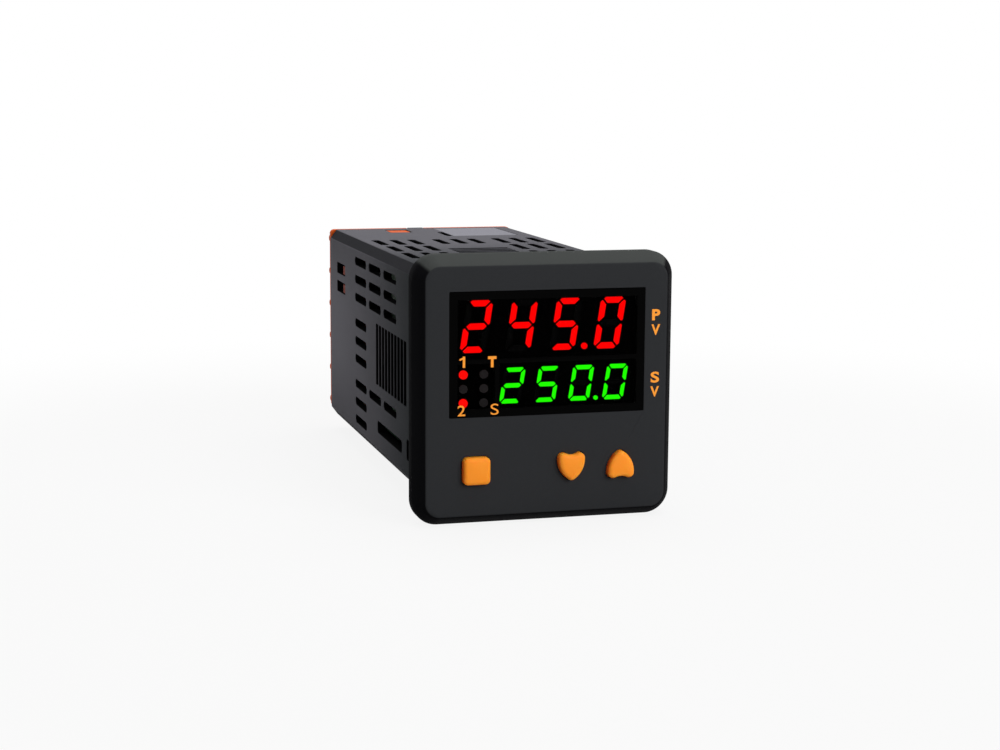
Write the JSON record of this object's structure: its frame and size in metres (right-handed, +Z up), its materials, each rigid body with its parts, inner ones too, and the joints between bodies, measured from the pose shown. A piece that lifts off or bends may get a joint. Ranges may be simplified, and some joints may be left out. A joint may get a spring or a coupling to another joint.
{
  "type": "panel mounting temperature controller",
  "caption": "Square panel-mounting temperature controller with a tinted display window, sprung front keys, a vented case with clamp racks and rear screw terminals.",
  "frame": {"origin": "centre of the panel plane, which is the rear face of the bezel's rim", "axes": "+X to the right seen from the front, +Y from the front to the terminals, +Z up"},
  "size_m": [0.048, 0.1023, 0.048],
  "materials": {
    "case_plastic": "moulded, fine grain",
    "bezel_plastic": "moulded, fine grain",
    "tinted_pane": "polished, black tint",
    "key_plastic": "moulded, satin",
    "cover_plastic": "moulded, fine grain",
    "circuit_board": "solder mask",
    "switch_body": "moulded",
    "plunger_plastic": "moulded",
    "display_black": "moulded, black face",
    "red_segment_lit": "lit",
    "green_segment_lit": "lit",
    "segment_dark": "unlit lens",
    "lamp_lit": "lit",
    "lamp_dark": "unlit lens",
    "component_black": "moulded package",
    "relay_blue": "moulded case",
    "fuse_brown": "moulded case",
    "varistor_blue": "dipped coat",
    "capacitor_can": "sleeved can",
    "ferrite": "sintered",
    "winding_tape": "taped winding",
    "brass_contact": "plated",
    "steel_screw": "zinc plated",
    "label_film": "plain film"
  },
  "bodies": {
    "controller": {"case": "case_plastic", "bezel": "bezel_plastic", "display_pane": "tinted_pane", "set_switch": "switch_body", "down_switch": "switch_body", "up_switch": "switch_body", "front_board": "circuit_board", "control_board": "circuit_board", "power_board": "circuit_board", "process_display": "display_black", "setpoint_display": "display_black", "lamp_holder": "display_black", "process_segments_lit": "red_segment_lit", "setpoint_segments_lit": "green_segment_lit", "process_segments_dark": "segment_dark", "setpoint_segments_dark": "segment_dark", "lamps_lit": "lamp_lit", "lamps_dark": "lamp_dark", "board_headers": "component_black", "processor": "component_black", "input_converter": "component_black", "optocouplers": "component_black", "output_relay_1": "relay_blue", "output_relay_2": "relay_blue", "mains_fuse": "fuse_brown", "varistor": "varistor_blue", "bulk_capacitor": "capacitor_can", "output_capacitors": "capacitor_can", "transformer_core": "ferrite", "transformer_winding": "winding_tape", "back_cover": "cover_plastic", "terminal_plates": "brass_contact", "terminal_clamps": "steel_screw", "terminal_screws": "steel_screw", "rating_label": "label_film"},
    "set key": {"set_key": "key_plastic", "set_plunger": "plunger_plastic"},
    "down key": {"down_key": "key_plastic", "down_plunger": "plunger_plastic"},
    "up key": {"up_key": "key_plastic", "up_plunger": "plunger_plastic"}
  },
  "joints": [
    {"name": "set_key_press", "type": "slide", "parent": "controller", "child": "set key", "axis": [0, 1, 0], "range_m": [0, 0.0005], "stiffness_N_per_m": 2000},
    {"name": "down_key_press", "type": "slide", "parent": "controller", "child": "down key", "axis": [0, 1, 0], "range_m": [0, 0.0005], "stiffness_N_per_m": 2000},
    {"name": "up_key_press", "type": "slide", "parent": "controller", "child": "up key", "axis": [0, 1, 0], "range_m": [0, 0.0005], "stiffness_N_per_m": 2000}
  ]
}
